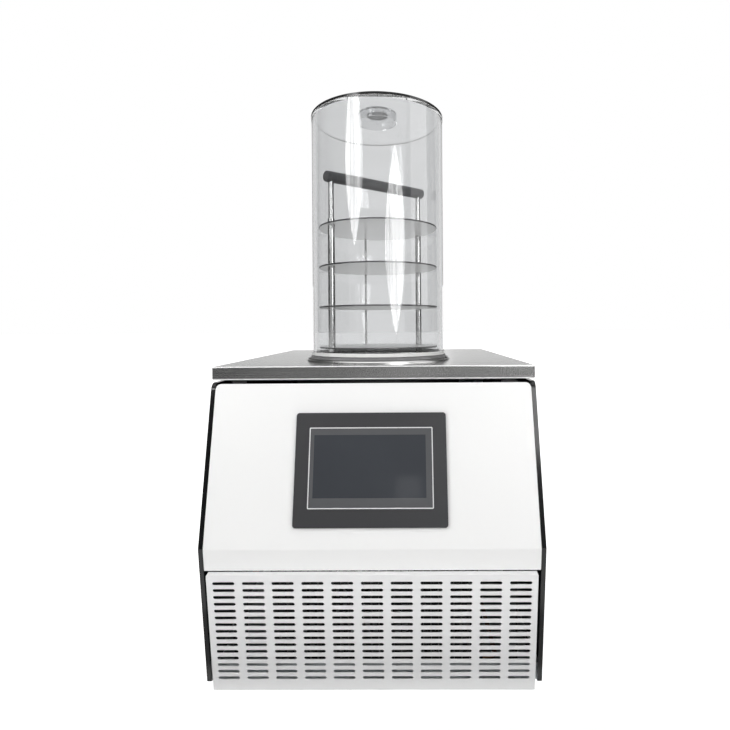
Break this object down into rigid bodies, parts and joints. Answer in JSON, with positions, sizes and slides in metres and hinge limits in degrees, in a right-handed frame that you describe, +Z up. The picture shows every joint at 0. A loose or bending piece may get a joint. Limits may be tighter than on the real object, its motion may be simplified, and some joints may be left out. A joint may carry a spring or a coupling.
{
  "type": "freeze dryer",
  "caption": "Benchtop freeze dryer with a slanted white front cover, touch display, slotted air panel, steel deck and a clear drying chamber over a shelved sample rack.",
  "frame": {"origin": "Centre of the bounding box in x and y, on the plane that the feet stand on.", "axes": "+Z is up, -Y is the front with the display, +X is the right side seen from the front."},
  "size_m": [0.46, 0.6174, 0.87],
  "materials": {
    "white_paint": "matte",
    "charcoal_paint": "matte",
    "black_steel": "satin",
    "galvanised": "satin",
    "brushed_steel": "satin",
    "bright_steel": "gloss",
    "copper": "satin",
    "brass": "satin",
    "foot_rubber": "matte",
    "seal_rubber": "matte",
    "foam": "matte",
    "hose": "satin",
    "dark_plastic": "matte",
    "white_plastic": "matte",
    "red_plastic": "gloss",
    "display_glass": "gloss",
    "dark_screen": "gloss",
    "clear_acrylic": "gloss",
    "board": "satin"
  },
  "bodies": {
    "cabinet": {"base_pan": "galvanised", "feet": "foot_rubber", "frame": "black_steel", "side_panel_left": "charcoal_paint", "side_panel_right": "charcoal_paint", "rear_panel": "charcoal_paint", "rear_screws": "bright_steel", "front_cover": "white_paint", "grille_panel": "white_paint", "deck_plate": "brushed_steel", "display_bezel": "dark_plastic", "display_glass": "display_glass", "display_screen": "dark_screen", "display_housing": "dark_plastic", "display_clips": "bright_steel", "base_ring": "bright_steel", "chamber_gasket": "seal_rubber", "foot_band": "white_plastic", "chamber_tube": "clear_acrylic", "chamber_lid": "clear_acrylic", "lid_rim": "seal_rubber", "lid_plug": "dark_plastic", "rack_base": "brushed_steel", "rack_rod_left": "bright_steel", "rack_rod_right": "bright_steel", "rack_rod_slim": "bright_steel", "sleeves_left": "bright_steel", "sleeves_right": "bright_steel", "shelf_1": "brushed_steel", "shelf_2": "brushed_steel", "shelf_3": "brushed_steel", "shelf_4": "brushed_steel", "handle_bar": "dark_plastic", "cold_trap": "bright_steel", "trap_bottom": "bright_steel", "evaporator_coil": "copper", "trap_foam": "foam", "foam_base": "foam", "compressor": "black_steel", "compressor_mounts": "foot_rubber", "condenser": "black_steel", "fan_shroud": "black_steel", "fan_motor": "black_steel", "filter_drier": "copper", "discharge_line": "copper", "liquid_line": "copper", "capillary_line": "copper", "suction_line": "copper", "vacuum_pipe": "bright_steel", "drain_pipe": "hose", "drain_valve": "brass", "electronics_tray": "galvanised", "control_board": "board", "power_supply": "galvanised", "mains_inlet": "dark_plastic", "pump_outlet": "dark_plastic", "power_switch": "dark_plastic"},
    "fan": {"fan_blades": "dark_plastic"},
    "drain_handle": {"drain_lever": "red_plastic"},
    "rocker": {"power_rocker": "dark_plastic"}
  },
  "joints": [
    {"name": "fan_spin", "type": "hinge", "parent": "cabinet", "child": "fan", "pos_m": [0, -0.21635, 0.095], "axis": [0, 1, 0], "continuous": true},
    {"name": "drain_turn", "type": "hinge", "parent": "cabinet", "child": "drain_handle", "pos_m": [0.024, 0.28065, 0.133], "axis": [0, 0, 1], "range_deg": [0, 90]},
    {"name": "power_rock", "type": "hinge", "parent": "cabinet", "child": "rocker", "pos_m": [0.16, 0.26765, 0.122], "axis": [-1, 0, 0], "range_deg": [0, 16]}
  ]
}
